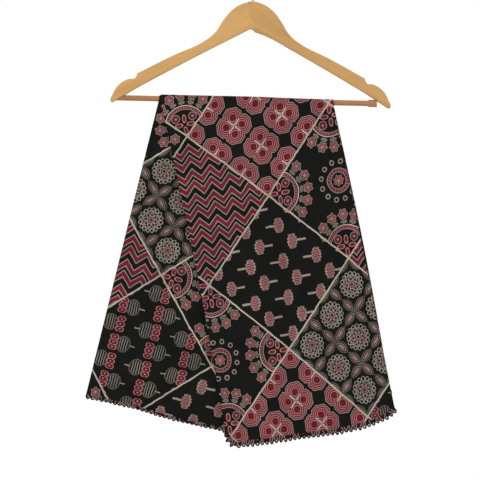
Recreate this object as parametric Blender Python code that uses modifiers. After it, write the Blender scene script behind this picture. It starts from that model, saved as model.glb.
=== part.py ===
"""A block-printed cloth with a picot edging, pleated and hung over the bar of a wooden clothes hanger.

Metres, +Z up. The origin is the inside top of the hook, where the hanger hangs. The front faces -Y.
"""

import math
from collections import namedtuple

import bmesh
import bpy
from mathutils import Vector

# Driving dimensions
CLEARANCE = 0.0003
SEAM_GAP = 0.0004
WELD = 0.00001
BAR_DROP = 0.233
BAR_RADIUS = 0.00435
BAR_SIDES = 16
KNOB_RADIUS = 0.0058
KNOB_START = 0.1865
KNOB_TAPER = 0.003
BAR_LEFT_END = -0.222
BAR_RIGHT_END = 0.2015

ARM_THICKNESS = 0.0125
ARM_EDGE = 0.0025
ARM_CREST = 0.075

WIRE_RADIUS = 0.002
HOOK_RADIUS = 0.0225
HOOK_TIP_ANGLE = 198
HOOK_NECK_ANGLE = -52
HOOK_NECK_DROP = 0.056
HOOK_STEP_ANGLE = 10
NECK_STEPS = 5
SOCKET_DEPTH = 0.015

SHEET = 0.001
SHEET_ON_BAR = 0.0005
PITCH_ON_BAR = 0.0017
PITCH_BELOW = 0.004
FALL_SPREAD = 0.008
FRONT_STEPS = 11
BAR_STEPS = 8
BACK_STEPS = 10
FOLD_STEPS = 4
BACK_SHORTER = 0.028
BACK_BOW = 0.004

EDGING_GAP = 0.0009
EDGING_DEPTH = 0.004
EDGING_THICKNESS = 0.0013
PICOT_PITCH = 0.009
PICOT_DEPTH = 0.005
PICOT_POINTS = 3

# Half of the hanger's outline, outwards from the crest, round the tip and back below. A sharp point is a
# corner.
Outline = namedtuple("Outline", "x drop sharp")
ARM_OUTLINE = (
    Outline(0.016, 0.0788, False),
    Outline(0.031, 0.0880, False),
    Outline(0.0465, 0.1065, False),
    Outline(0.059, 0.1260, False),
    Outline(0.076, 0.1400, False),
    Outline(0.125, 0.1640, False),
    Outline(0.181, 0.1935, True),
    Outline(0.1855, 0.2015, False),
    Outline(0.195, 0.2030, False),
    Outline(0.2105, 0.2125, False),
    Outline(0.219, 0.2260, False),
    Outline(0.2225, 0.2395, False),
    Outline(0.2195, 0.2403, True),
    Outline(0.183, 0.2173, True),
    Outline(0.125, 0.1845, False),
    Outline(0.061, 0.1495, False),
    Outline(0.028, 0.1320, False),
)
# The curved seam where the arms meet, from the crest down to the lower edge.
SEAM = (
    Outline(-0.0050, 0.0752, True),
    Outline(-0.0068, 0.0900, False),
    Outline(-0.0030, 0.1010, False),
    Outline(0.0030, 0.1100, False),
    Outline(0.0060, 0.1228, True),
)
RIGHT_CREST = Outline(0.003, 0.0750, False)
LEFT_APEX = Outline(-0.0032, 0.1186, True)

# Lines down the cloth, from its right edge, across the pleat, to its left edge. The level counts the layers
# from the bar, and turn is the side that a fold turns to, dropping one level.
Line = namedtuple("Line", "x_bar x_hem drop_hem level turn")
PLEAT = (
    Line(0.132, 0.240, 0.483, 0.0, 0),
    Line(0.120, 0.223, 0.496, 0.0, 0),
    Line(0.098, 0.186, 0.510, 0.2, 0),
    Line(0.066, 0.123, 0.523, 0.6, 0),
    Line(0.036, 0.066, 0.5315, 1.3, 0),
    Line(0.010, 0.024, 0.539, 2.0, 0),
    Line(-0.060, 0.004, 0.541, 2.0, 0),
    Line(-0.120, -0.013, 0.543, 2.0, 0),
    Line(-0.143, -0.026, 0.5255, 2.0, -1),
    Line(-0.072, -0.008, 0.531, 1.0, 0),
    Line(-0.001, 0.011, 0.533, 1.0, 1),
    Line(-0.036, -0.044, 0.5205, 0.0, 0),
    Line(-0.072, -0.112, 0.5075, 0.0, 0),
    Line(-0.109, -0.180, 0.4885, 0.0, 0),
    Line(-0.1455, -0.251, 0.475, 0.0, 0),
)

# Soft folds that open towards the hem: where each lies at the bar and at the hem, how far it stands out and
# its width.
Swell = namedtuple("Swell", "x_bar x_hem height width")
FRONT_SWELLS = (
    Swell(0.078, 0.150, 0.0075, 0.034),
    Swell(0.118, 0.226, -0.0040, 0.022),
    Swell(-0.020, 0.050, 0.0050, 0.032),
    Swell(-0.120, -0.196, 0.0065, 0.030),
    Swell(-0.090, -0.118, -0.0030, 0.024),
)
BACK_SWELLS = (
    Swell(0.050, 0.100, 0.0070, 0.036),
    Swell(0.110, 0.200, 0.0050, 0.026),
    Swell(-0.060, -0.070, 0.0060, 0.034),
    Swell(-0.110, -0.190, -0.0035, 0.026),
)

CLOTH_ON_BAR = BAR_RADIUS + SHEET_ON_BAR + SHEET / 2

Finish = namedtuple("Finish", "color roughness metallic")
CLOTH_FINISH = Finish((0.055, 0.030, 0.032), 0.85, 0.0)
EDGING_FINISH = Finish((0.110, 0.020, 0.028), 0.80, 0.0)
WOOD_FINISH = Finish((0.600, 0.350, 0.130), 0.45, 0.0)
BAR_FINISH = Finish((0.440, 0.200, 0.070), 0.50, 0.0)
STEEL_FINISH = Finish((0.620, 0.620, 0.600), 0.25, 1.0)


def blend(a, b, share):
    return a + (b - a) * share


def make_collection(name):
    collection = bpy.data.collections.new(name)
    bpy.context.scene.collection.children.link(collection)
    return collection


def make_material(name, finish):
    material = bpy.data.materials.new(name)
    material.use_nodes = True
    shader = material.node_tree.nodes["Principled BSDF"]
    shader.inputs["Base Color"].default_value = (*finish.color, 1.0)
    shader.inputs["Roughness"].default_value = finish.roughness
    shader.inputs["Metallic"].default_value = finish.metallic
    material.diffuse_color = (*finish.color, 1.0)
    return material


def make_object(name, mesh, material, collection):
    piece = bpy.data.objects.new(name, mesh)
    mesh.materials.append(material)
    collection.objects.link(piece)
    return piece


def curve_to_piece(curve_object, name, material, collection):
    """The curve's solid as a mesh object, its caps welded and its faces turned out."""
    bpy.context.view_layer.update()
    graph = bpy.context.evaluated_depsgraph_get()
    mesh = bpy.data.meshes.new_from_object(curve_object.evaluated_get(graph))
    mesh.name = name
    mesh.transform(curve_object.matrix_world)
    bpy.data.objects.remove(curve_object)
    work = bmesh.new()
    work.from_mesh(mesh)
    bmesh.ops.remove_doubles(work, verts=work.verts, dist=WELD)
    bmesh.ops.recalc_face_normals(work, faces=work.faces)
    work.to_mesh(mesh)
    work.free()
    mesh.materials.clear()
    return make_object(name, mesh, material, collection)


def add_outline_curve(name, outline, collection):
    """A flat outline of the hanger, standing up in the XZ plane, with rounded edges."""
    curve = bpy.data.curves.new(name, "CURVE")
    curve.dimensions = "2D"
    curve.fill_mode = "BOTH"
    curve.extrude = ARM_THICKNESS / 2 - ARM_EDGE
    curve.bevel_depth = ARM_EDGE
    curve.bevel_resolution = 1
    curve.offset = -ARM_EDGE
    curve.resolution_u = 4
    spline = curve.splines.new("BEZIER")
    spline.bezier_points.add(len(outline) - 1)
    spline.use_cyclic_u = True
    for point, place in zip(spline.bezier_points, outline):
        point.co = (place.x, -place.drop, 0.0)
        kind = "VECTOR" if place.sharp else "AUTO"
        point.handle_left_type = kind
        point.handle_right_type = kind
    holder = bpy.data.objects.new(name + "_outline", curve)
    holder.rotation_euler = (math.pi / 2, 0.0, 0.0)
    collection.objects.link(holder)
    return holder


def add_stem_cutter(collection):
    """The drilled socket for the hook's stem, between the arms at the crest."""
    mesh = bpy.data.meshes.new("stem_socket")
    work = bmesh.new()
    bmesh.ops.create_cone(
        work,
        cap_ends=True,
        segments=12,
        radius1=WIRE_RADIUS + CLEARANCE,
        radius2=WIRE_RADIUS + CLEARANCE,
        depth=2 * SOCKET_DEPTH,
    )
    work.to_mesh(mesh)
    work.free()
    cutter = bpy.data.objects.new("stem_socket", mesh)
    cutter.location = (0.0, 0.0, -ARM_CREST)
    cutter.hide_render = True
    cutter.display_type = "WIRE"
    collection.objects.link(cutter)
    return cutter


def add_arms(material, collection, cutter):
    """Both arms: the same outline on each side, and the seam's curve between them with a fine gap."""
    half_gap = SEAM_GAP / 2
    mirrored = [Outline(-place.x, place.drop, place.sharp) for place in ARM_OUTLINE]
    upwards = SEAM[::-1]
    left_seam = [Outline(place.x - half_gap, place.drop, place.sharp) for place in upwards]
    right_seam = [Outline(place.x + half_gap, place.drop, place.sharp) for place in upwards]
    outlines = {
        "left_arm": [*mirrored, LEFT_APEX, *left_seam],
        "right_arm": [RIGHT_CREST, *ARM_OUTLINE, *right_seam],
    }
    for name, outline in outlines.items():
        arm = curve_to_piece(add_outline_curve(name, outline, collection), name, material, collection)
        socket = arm.modifiers.new("stem socket", "BOOLEAN")
        socket.operation = "DIFFERENCE"
        socket.object = cutter


def add_bar(material, collection):
    """The turned bar and its knob, each end cut along the lower edge of its arm."""
    curve = bpy.data.curves.new("bar", "CURVE")
    curve.dimensions = "3D"
    curve.bevel_depth = BAR_RADIUS
    curve.bevel_resolution = (BAR_SIDES - 4) // 2
    curve.use_fill_caps = True
    stations = (
        (BAR_LEFT_END, BAR_RADIUS),
        (KNOB_START, BAR_RADIUS),
        (KNOB_START + KNOB_TAPER, KNOB_RADIUS),
        (BAR_RIGHT_END, KNOB_RADIUS),
    )
    spline = curve.splines.new("POLY")
    spline.points.add(len(stations) - 1)
    for point, (x, radius) in zip(spline.points, stations):
        point.co = (x, 0.0, -BAR_DROP, 1.0)
        point.radius = radius / BAR_RADIUS
    holder = bpy.data.objects.new("bar_line", curve)
    collection.objects.link(holder)
    bar = curve_to_piece(holder, "bar", material, collection)
    outer, inner = [place for place in ARM_OUTLINE if place.sharp][1:3]
    work = bmesh.new()
    work.from_mesh(bar.data)
    for side in (-1, 1):
        along = Vector((side * (outer.x - inner.x), 0.0, -(outer.drop - inner.drop))).normalized()
        up = Vector((-along.z * side, 0.0, along.x * side))
        seat = Vector((side * inner.x, 0.0, -inner.drop)) - up * CLEARANCE
        cut = bmesh.ops.bisect_plane(
            work,
            geom=[*work.verts, *work.edges, *work.faces],
            dist=WELD / 10,
            plane_co=seat,
            plane_no=up,
            clear_outer=True,
        )
        rim = [item for item in cut["geom_cut"] if isinstance(item, bmesh.types.BMEdge)]
        bmesh.ops.edgeloop_fill(work, edges=rim)
    bmesh.ops.recalc_face_normals(work, faces=work.faces)
    work.to_mesh(bar.data)
    work.free()
    smooth_round(bar)


def add_hook(material, collection):
    """The wire hook: a loop round the rail, a neck back to the middle, and a stem in its socket."""
    centre_drop = HOOK_RADIUS - WIRE_RADIUS
    route = []
    for degrees in range(HOOK_TIP_ANGLE, HOOK_NECK_ANGLE - 1, -HOOK_STEP_ANGLE):
        turn = math.radians(degrees)
        route.append((HOOK_RADIUS * math.cos(turn), HOOK_RADIUS * math.sin(turn) - centre_drop))
    last = math.radians(HOOK_NECK_ANGLE)
    reach = HOOK_RADIUS / 3
    start = Vector(route[-1])
    ahead = start + Vector((math.sin(last), -math.cos(last))) * reach
    end = Vector((0.0, -HOOK_NECK_DROP))
    above = end + Vector((0.0, reach))
    for step in range(1, NECK_STEPS + 1):
        t = step / NECK_STEPS
        s = 1 - t
        neck = start * s**3 + ahead * 3 * s * s * t + above * 3 * s * t * t + end * t**3
        route.append((neck.x, neck.y))
    route.append((0.0, -(ARM_CREST + SOCKET_DEPTH - CLEARANCE)))
    curve = bpy.data.curves.new("hook", "CURVE")
    curve.dimensions = "3D"
    curve.bevel_depth = WIRE_RADIUS
    curve.bevel_resolution = 2
    curve.use_fill_caps = True
    spline = curve.splines.new("POLY")
    spline.points.add(len(route) - 1)
    for point, (x, z) in zip(spline.points, route):
        point.co = (x, 0.0, z, 1.0)
    holder = bpy.data.objects.new("hook_line", curve)
    collection.objects.link(holder)
    smooth_round(curve_to_piece(holder, "hook", material, collection))


def smooth_round(piece):
    piece.data.shade_smooth()
    piece.data.set_sharp_from_angle(angle=math.radians(40))


def swell_at(x, fall, swells):
    """How far the soft folds stand out at x, a share of the way down the fall."""
    out = FALL_SPREAD * math.sin(fall * math.pi / 2)
    for swell in swells:
        away = (x - blend(swell.x_bar, swell.x_hem, fall)) / swell.width
        out += swell.height * fall * math.exp(-away * away)
    return out


def split_lines():
    """The pleat's lines with one more halfway between each two that lie in the same layer."""
    lines = [PLEAT[0]]
    for line in PLEAT[1:]:
        before = lines[-1]
        level = before.level - abs(before.turn)
        middle = [blend(a, b, 0.5) for a, b in zip(before[:3], line[:3])]
        lines.append(Line(*middle, blend(level, line.level, 0.5), 0))
        lines.append(line)
    return lines


def across(line, pitch):
    """A line's points in a section, as (sideways shift, level): one, or a half round at a fold."""
    if not line.turn:
        return [(0.0, line.level)]
    steps = [math.pi * step / FOLD_STEPS for step in range(FOLD_STEPS + 1)]
    return [(line.turn * pitch / 2 * math.sin(a), line.level - 0.5 + 0.5 * math.cos(a)) for a in steps]


def fall_section(fall, side):
    """The section at a share of the fall, in front of the bar (side -1) or behind it (side 1)."""
    swells = FRONT_SWELLS if side < 0 else BACK_SWELLS
    pitch = blend(PITCH_ON_BAR, PITCH_BELOW, min(1.0, 4 * fall))
    points = []
    for line in split_lines():
        reach = fall
        bow = 0.0
        if side > 0:
            reach *= 1 - BACK_SHORTER / line.drop_hem
            bow = BACK_BOW * math.sin(math.pi * fall)
        x_line = blend(line.x_bar, line.x_hem, reach) + bow
        for shift, level in across(line, pitch):
            out = CLOTH_ON_BAR + level * pitch + swell_at(x_line, fall, swells)
            points.append(Vector((x_line + shift, side * out, -BAR_DROP - line.drop_hem * reach)))
    return points


def bar_section(turn):
    """The section over the bar, turn going from 0 at its front to pi at its back."""
    points = []
    for line in split_lines():
        for shift, level in across(line, PITCH_ON_BAR):
            out = CLOTH_ON_BAR + level * PITCH_ON_BAR
            height = out * math.sin(turn) - BAR_DROP
            points.append(Vector((line.x_bar + shift, -out * math.cos(turn), height)))
    return points


def cloth_sections():
    """Every section of the cloth, from the front hem up, over the bar and down to the back hem."""
    sections = [fall_section(1 - step / FRONT_STEPS, -1) for step in range(FRONT_STEPS)]
    sections += [bar_section(math.pi * step / BAR_STEPS) for step in range(BAR_STEPS + 1)]
    sections += [fall_section((step + 1) / BACK_STEPS, 1) for step in range(BACK_STEPS)]
    return sections


def add_sheet(name, sections, thickness, material, collection):
    """A sheet lofted through equal sections and given its thickness about its middle surface."""
    work = bmesh.new()
    rows = [[work.verts.new(point) for point in section] for section in sections]
    for upper, lower in zip(rows, rows[1:]):
        for place in range(len(upper) - 1):
            work.faces.new((upper[place], upper[place + 1], lower[place + 1], lower[place]))
    mesh = bpy.data.meshes.new(name)
    work.to_mesh(mesh)
    work.free()
    sheet = make_object(name, mesh, material, collection)
    wall = sheet.modifiers.new("thickness", "SOLIDIFY")
    wall.thickness = thickness
    wall.offset = 0.0
    wall.use_even_offset = True
    wall.use_quality_normals = True
    mesh.shade_smooth()
    return sheet


def spaced(points, spacing):
    """Points at an even spacing along a polyline."""
    lengths = [(b - a).length for a, b in zip(points, points[1:])]
    count = round(sum(lengths) / spacing)
    found = []
    for index in range(count + 1):
        ahead = sum(lengths) * index / count
        place = 0
        while place < len(lengths) - 1 and ahead > lengths[place]:
            ahead -= lengths[place]
            place += 1
        found.append(points[place].lerp(points[place + 1], min(1.0, ahead / lengths[place])))
    return found


def off_hem(points, index):
    """The direction away from the cloth at a point of its hem, square to the hem."""
    along = points[min(index + 1, len(points) - 1)] - points[max(index - 1, 0)]
    down = Vector((0.0, 0.0, -1.0))
    return (down - along * down.dot(along) / along.dot(along)).normalized()


def add_edging(name, hem, material, collection):
    """The sewn edging: a band just below the hem whose lower side is a row of picots."""
    seam = spaced(hem, PICOT_PITCH / PICOT_POINTS)
    top = []
    bottom = []
    for index, point in enumerate(seam):
        away = off_hem(seam, index)
        depth = EDGING_DEPTH + (PICOT_DEPTH if index % PICOT_POINTS else 0.0)
        top.append(point + away * EDGING_GAP)
        bottom.append(point + away * depth)
    add_sheet(name, [top, bottom], EDGING_THICKNESS, material, collection)


def main():
    for old in list(bpy.data.objects):
        bpy.data.objects.remove(old)
    hanging = make_collection("ajrakh_cloth_on_hanger")
    cutters = make_collection("cutters")
    wood = make_material("waxed wood", WOOD_FINISH)
    edging = make_material("crocheted cotton", EDGING_FINISH)
    cutter = add_stem_cutter(cutters)
    add_arms(wood, hanging, cutter)
    add_bar(make_material("bar wood", BAR_FINISH), hanging)
    add_hook(make_material("plated steel wire", STEEL_FINISH), hanging)
    sections = cloth_sections()
    add_sheet("cloth", sections, SHEET, make_material("printed cloth", CLOTH_FINISH), hanging)
    add_edging("front_edging", sections[0], edging, hanging)
    add_edging("back_edging", sections[-1], edging, hanging)


main()
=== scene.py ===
"""An ajrakh cloth hung over the bar of a wooden clothes hanger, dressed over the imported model.

Metres, +Z up. The origin is the inside top of the hook, and the front faces -Y.
"""

import math
import random
from collections import namedtuple
from functools import partial

import bmesh
import bpy
from mathutils import Matrix, Vector, noise


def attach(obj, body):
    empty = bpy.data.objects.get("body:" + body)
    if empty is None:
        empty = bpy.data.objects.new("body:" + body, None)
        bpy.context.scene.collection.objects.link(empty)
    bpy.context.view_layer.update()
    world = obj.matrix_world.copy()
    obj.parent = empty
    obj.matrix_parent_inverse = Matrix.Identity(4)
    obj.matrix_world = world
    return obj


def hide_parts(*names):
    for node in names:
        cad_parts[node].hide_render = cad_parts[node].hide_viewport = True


bl_info = {
    "name": "Ajrakh cloth on a hanger",
    "version": (1, 0, 0),
    "blender": (4, 5, 0),
    "location": "3D View > Sidebar > Ajrakh",
    "description": "A block-printed cloth with a picot edging, hung over the bar of a wooden hanger",
    "category": "Object",
}

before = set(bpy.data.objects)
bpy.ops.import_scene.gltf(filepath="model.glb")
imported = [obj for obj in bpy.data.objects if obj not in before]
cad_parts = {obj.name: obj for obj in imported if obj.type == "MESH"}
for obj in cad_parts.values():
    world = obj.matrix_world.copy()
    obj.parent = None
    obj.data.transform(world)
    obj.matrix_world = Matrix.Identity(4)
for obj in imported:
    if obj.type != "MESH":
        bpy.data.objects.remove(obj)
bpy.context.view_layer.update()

# The hanger's driving dimensions, in metres. A drop is measured down from the origin.
SEAM_LAP = 0.0001
CLEARANCE = 0.0003
BAR_DROP = 0.233
BAR_RADIUS = 0.00435
KNOB_RADIUS = 0.0058
KNOB_START = 0.1865
KNOB_TAPER = 0.003
BAR_LEFT_END = -0.222
BAR_RIGHT_END = 0.2015
ARM_THICKNESS = 0.0125
ARM_CREST = 0.075
# The share that the right arm's wood colours are scaled down by: painted shade for an arm turned away from the
# light.
RIGHT_ARM_PAINTED_SHADE = 0.92
WIRE_RADIUS = 0.002
HOOK_RADIUS = 0.0225
HOOK_TIP_ANGLE = 198
HOOK_NECK_ANGLE = -52
HOOK_NECK_DROP = 0.056
HOOK_DEGREES = 5
NECK_STEPS = 10
STEM_IN_WOOD = 0.004

# Half of the hanger's outline, outwards from the crest, round the tip and back below. A sharp point is a corner.
Outline = namedtuple("Outline", "x drop sharp")
ARM_OUTLINE = (
    Outline(0.016, 0.0788, False),
    Outline(0.031, 0.0880, False),
    Outline(0.0465, 0.1065, False),
    Outline(0.059, 0.1260, False),
    Outline(0.076, 0.1400, False),
    Outline(0.125, 0.1640, False),
    Outline(0.181, 0.1935, True),
    Outline(0.1855, 0.2015, False),
    Outline(0.195, 0.2030, False),
    Outline(0.2105, 0.2125, False),
    Outline(0.219, 0.2260, False),
    Outline(0.2225, 0.2395, False),
    Outline(0.2195, 0.2403, True),
    Outline(0.183, 0.2173, True),
    Outline(0.125, 0.1845, False),
    Outline(0.061, 0.1495, False),
    Outline(0.028, 0.1320, False),
)
# The curved seam where the arms meet, from the crest down to the lower edge.
SEAM = (
    Outline(-0.0050, 0.0752, True),
    Outline(-0.0068, 0.0900, False),
    Outline(-0.0030, 0.1010, False),
    Outline(0.0030, 0.1100, False),
    Outline(0.0060, 0.1228, True),
)
RIGHT_CREST = Outline(0.003, 0.0750, False)
LEFT_APEX = Outline(-0.0032, 0.1186, True)

# The cloth's lines, from its right edge, across the pleat, to its left edge: where each lies at the bar and at the
# hem, its length and how far it bows to the right. The level counts the layers from the bar.
Line = namedtuple("Line", "x_bar x_hem drop_hem level bow")
RIGHT_PANEL = (
    Line(0.132, 0.240, 0.483, 0.0, 0.0),
    Line(0.120, 0.223, 0.496, 0.0, 0.0),
    Line(0.098, 0.186, 0.510, 0.2, 0.0),
    Line(0.066, 0.123, 0.523, 0.6, 0.0),
    Line(0.036, 0.066, 0.5315, 1.3, 0.0),
    Line(0.010, 0.024, 0.539, 2.0, 0.0),
    Line(-0.060, 0.004, 0.541, 2.0, 0.001),
    Line(-0.120, -0.013, 0.543, 2.0, 0.004),
    Line(-0.143, -0.026, 0.5255, 2.0, 0.005),
)
RETURN_PANEL = (
    Line(-0.143, -0.026, 0.5255, 1.0, 0.005),
    Line(-0.072, -0.008, 0.531, 1.0, 0.002),
    Line(-0.001, 0.011, 0.533, 1.0, 0.0),
)
LEFT_PANEL = (
    Line(-0.001, 0.011, 0.533, 0.0, 0.0),
    Line(-0.036, -0.044, 0.5205, 0.0, 0.0),
    Line(-0.072, -0.112, 0.5075, 0.0, 0.0),
    Line(-0.109, -0.180, 0.4885, 0.0, 0.0),
    Line(-0.1455, -0.251, 0.475, 0.0, 0.0),
)
SHEET_ON_BAR = 0.0006
PITCH_ON_BAR = 0.0008
PITCH_BELOW = 0.004
FALL_SPREAD = 0.008
BACK_SHORTER = 0.028
BACK_BOW = 0.004

# Soft folds that open towards the hem: where each lies at the bar and at the hem, how far it stands out, its width.
Swell = namedtuple("Swell", "x_bar x_hem height width")
FRONT_SWELLS = (
    Swell(0.078, 0.150, 0.0075, 0.034),
    Swell(0.118, 0.226, -0.0040, 0.022),
    Swell(-0.020, 0.050, 0.0050, 0.032),
    Swell(-0.120, -0.196, 0.0065, 0.030),
    Swell(-0.090, -0.118, -0.0030, 0.024),
)
BACK_SWELLS = (
    Swell(0.050, 0.100, 0.0070, 0.036),
    Swell(0.110, 0.200, 0.0050, 0.026),
    Swell(-0.060, -0.070, 0.0060, 0.034),
    Swell(-0.110, -0.190, -0.0035, 0.026),
)

# The slack between the folds: how often it waves across and down the fall, the seed of its noise and its height.
Wave = namedtuple("Wave", "across down seed height")
SLACK_WAVES = (Wave(26, 2.4, 5.0, 1.0), Wave(70, 7.0, 9.0, 0.3))
SLACK_FAN = 1.8
SLACK_AT_BAR = 0.12

# How closely the cloth is woven as a mesh.
RIGHT_COLUMNS = 76
RETURN_COLUMNS = 22
LEFT_COLUMNS = 72
FOLD_COLUMNS = 6
FRONT_ROWS = 130
BAR_ROWS = 14
BACK_ROWS = 100

# The printed blocks: their size in millimetres, which all the print's numbers are in, and how the two panels of
# the cloth lie on the grid that they make. A place is (at the bar's middle, for each metre to the right, for each
# metre down, for each square metre).
BLOCK_MM = 162.0
DIAGONAL_MM = BLOCK_MM / math.sqrt(2)
Lie = namedtuple("Lie", "start right down both")
RIGHT_LIE = (Lie(-0.668, 5.345, 3.311, -0.365), Lie(-0.612, -3.185, 4.756, -1.322))
LEFT_LIE = (Lie(-1.978, 3.278, 5.065, 0.0), Lie(0.463, -5.122, 2.991, 0.0))

# Which motif fills each block, by column and row. The plan repeats.
MOTIFS = "RMCLDBF"
BLOCK_PLAN = ("LMLCM", "DRMBC", "BFLRD", "RMBDC", "FDCRM", "CMBMR")
PLAN_COLUMNS = len(BLOCK_PLAN)
PLAN_ROWS = len(BLOCK_PLAN[0])

# The inks, as levels from the ground up. Where two marks meet, the higher one shows.
INK_LEVELS = 8
GROUND, MAROON, SMOKE, CORE, CRIMSON, PINK, ASH, CREAM = (level / INK_LEVELS for level in range(INK_LEVELS))
# The bands of a small flower, by the distance from its middle in millimetres.
SMALL_FLOWER = ((0.0, CREAM), (1.2, CRIMSON), (3.2, PINK), (4.2, CRIMSON), (6.2, ASH), (7.3, GROUND))

# The print's tables. A band is (where it starts, its ink).
# The rosettes' fans, from a fan's middle, which is so far off both axes.
FAN_OFF = 9.0
FAN_SLANT = 0.74
FAN_BANDS = (
    (0.0, GROUND), (5.4, PINK), (6.5, CRIMSON), (8.6, PINK), (9.7, CRIMSON), (11.8, PINK), (12.9, CRIMSON),
    (14.7, ASH), (15.8, GROUND),
)
# Across a pair of chevrons, as shares of it.
CHEVRON_BANDS = (
    (0.0, ASH), (0.05, CRIMSON), (0.26, ASH), (0.31, GROUND), (0.45, ASH), (0.50, CRIMSON), (0.71, ASH),
    (0.76, GROUND),
)
# Where the lotuses' rows start and how far they drift from block to block, across the rows and along them; then
# the rows' height, the spacing in them and the shift of every other row, as shares of half a diagonal.
LOTUS_PHASES = ((21.2, -7.2), (23.1, -9.8))
LOTUS_ROWS = (0.235, 0.47, 0.265)
# How far the printed lines stray, in blocks, and how much the dye fades and deepens.
STRAY = 0.018
FADE = (0.72, 1.18)
# The round near a mandala's corner, and the heart of the leaves in it.
ROUND_OFF = 11.7
HEART_OFF = 13.2

# The crocheted edging, in metres: its picots, its band, the pale yarn wrapped round it, and how often the yarn is
# doubled at a picot or left off the band.
PICOT_PITCH = 0.0075
PICOT_DEPTH = 0.0042
BAND_DEPTH = 0.0064
BAND_THICKNESS = 0.0024
BAND_OVERLAP = 0.0012
BAND_SIDES = 10
BAND_STEPS = 6
PICOT_RADIUS = 0.0013
WRAP_RADIUS = 0.0008
YARN_SIDES = 6
SCALLOP = 0.0006
WRAP_STEPS = 10
WRAP_LEAN = 0.0025
DOUBLED_SHARE = 0.3
BARE_SHARE = 0.35
# The edging is worked deeper on the right of the pleat's front fold than on the left of it.
SHALLOW = 0.55
SHALLOW_END = -0.035
DEEP_START = -0.018

# The photograph's frame: its middle on the cloth's plane, its width there and how far it leans.
VIEW_MIDDLE = (-0.0117, -0.4555)
VIEW_WIDTH = 0.766
VIEW_LEAN = math.radians(1.3)
SENSOR = 36.0

# The soft lights: where each hangs, the side of its square and its share of the key light's strength. Then the
# strength of the room's own light from below and from above.
LIGHTS = {
    "key": ((-1.5, -2.2, 0.9), 1.8, 1.0),
    "fill": ((1.9, -1.9, 0.1), 2.0, 0.5),
    "back": ((0.4, 2.3, 1.0), 2.0, 0.8),
}
ROOM = (0.28, 0.62)


def linear(hex_colour):
    """A hex sRGB colour as linear red, green and blue."""
    parts = [int(hex_colour[place : place + 2], 16) / 255 for place in (1, 3, 5)]
    return tuple(part / 12.92 if part <= 0.04045 else ((part + 0.055) / 1.055) ** 2.4 for part in parts)


def colour_setting(name, description, hex_colour):
    return bpy.props.FloatVectorProperty(
        name=name, description=description, default=linear(hex_colour), subtype="COLOR", min=0.0, max=1.0
    )


def length_setting(name, description, metres):
    return bpy.props.FloatProperty(
        name=name, description=description, default=metres, min=0.0, unit="LENGTH", precision=5
    )


class AjrakhClothSettings(bpy.types.PropertyGroup):
    """The cloth: its weight, its slack and the colours that it is printed in"""

    thickness: length_setting("Thickness", "Thickness of the woven cotton", 0.0006)
    slack: length_setting("Slack", "Height of the slack between the folds, at the hem", 0.0022)
    thread: length_setting("Thread spacing", "Spacing of the threads, drawn as coarse as they need to show", 0.0011)
    ground: colour_setting("Ground", "Iron and indigo ground", "#191A16")
    maroon: colour_setting("Maroon", "Darkest madder", "#3A161B")
    smoke: colour_setting("Smoke", "Resist that took most of the ground", "#6F685F")
    core: colour_setting("Core", "Madder over a little of the ground", "#6E212A")
    crimson: colour_setting("Crimson", "Madder red", "#7B2434")
    pink: colour_setting("Pink", "Thin madder over the white", "#C08886")
    ash: colour_setting("Ash", "Resist that took some of the ground", "#A39A8F")
    cream: colour_setting("Cream", "Bare cotton left by the resist", "#C9C0AE")


class AjrakhEdgingSettings(bpy.types.PropertyGroup):
    """The edging sewn to both hems"""

    yarn: colour_setting("Yarn", "Dark cotton yarn of the band and its picots", "#33131A")
    pale_yarn: colour_setting("Pale yarn", "Pale yarn wrapped round the band", "#9C8A82")
    pitch: length_setting("Pitch", "Distance from one picot to the next", PICOT_PITCH)


class AjrakhHangerSettings(bpy.types.PropertyGroup):
    """The hanger's woods and wire"""

    edge: length_setting("Edge", "Rounding along the edges of the arms", 0.0028)
    light_wood: colour_setting("Light wood", "Wood of the arms between the grain", "#EAB66E")
    dark_wood: colour_setting("Dark wood", "Grain lines of the arms", "#DAA45E")
    bar_wood: colour_setting("Bar wood", "Wood of the bar and its knob", "#C0884F")
    wire: colour_setting("Wire", "Plated steel wire of the hook", "#C9C9C6")


class AjrakhStageSettings(bpy.types.PropertyGroup):
    """The floor, the lights and the camera"""

    paper: colour_setting("Paper", "Paper on the floor", "#F0F0EE")
    distance: length_setting("Distance", "From the camera to the cloth's plane", 3.0)
    floor: length_setting("Floor", "How far the floor lies under the origin", 1.65)
    reach: length_setting("Reach", "Radius of the floor", 6.0)
    light: bpy.props.FloatProperty(
        name="Light", description="Strength of the key light in watts", default=19.6, min=0.0
    )


class AjrakhSettings(bpy.types.PropertyGroup):
    """Everything that the panel offers"""

    cloth: bpy.props.PointerProperty(type=AjrakhClothSettings)
    edging: bpy.props.PointerProperty(type=AjrakhEdgingSettings)
    hanger: bpy.props.PointerProperty(type=AjrakhHangerSettings)
    stage: bpy.props.PointerProperty(type=AjrakhStageSettings)


def blend(a, b, share):
    return a + (b - a) * share


def deselect_all():
    bpy.ops.object.select_all(action="DESELECT")


def make_piece(name, mesh, materials):
    piece = bpy.data.objects.new(name, mesh)
    for material in materials:
        mesh.materials.append(material)
    bpy.context.scene.collection.objects.link(piece)
    return piece


def settle(piece):
    """Puts the object at the origin, unturned and unscaled, with its place in its mesh."""
    deselect_all()
    bpy.context.view_layer.objects.active = piece
    piece.select_set(True)
    bpy.ops.object.transform_apply(location=True, rotation=True, scale=True)
    bpy.ops.object.shade_smooth_by_angle(angle=math.radians(35))
    deselect_all()


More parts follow.
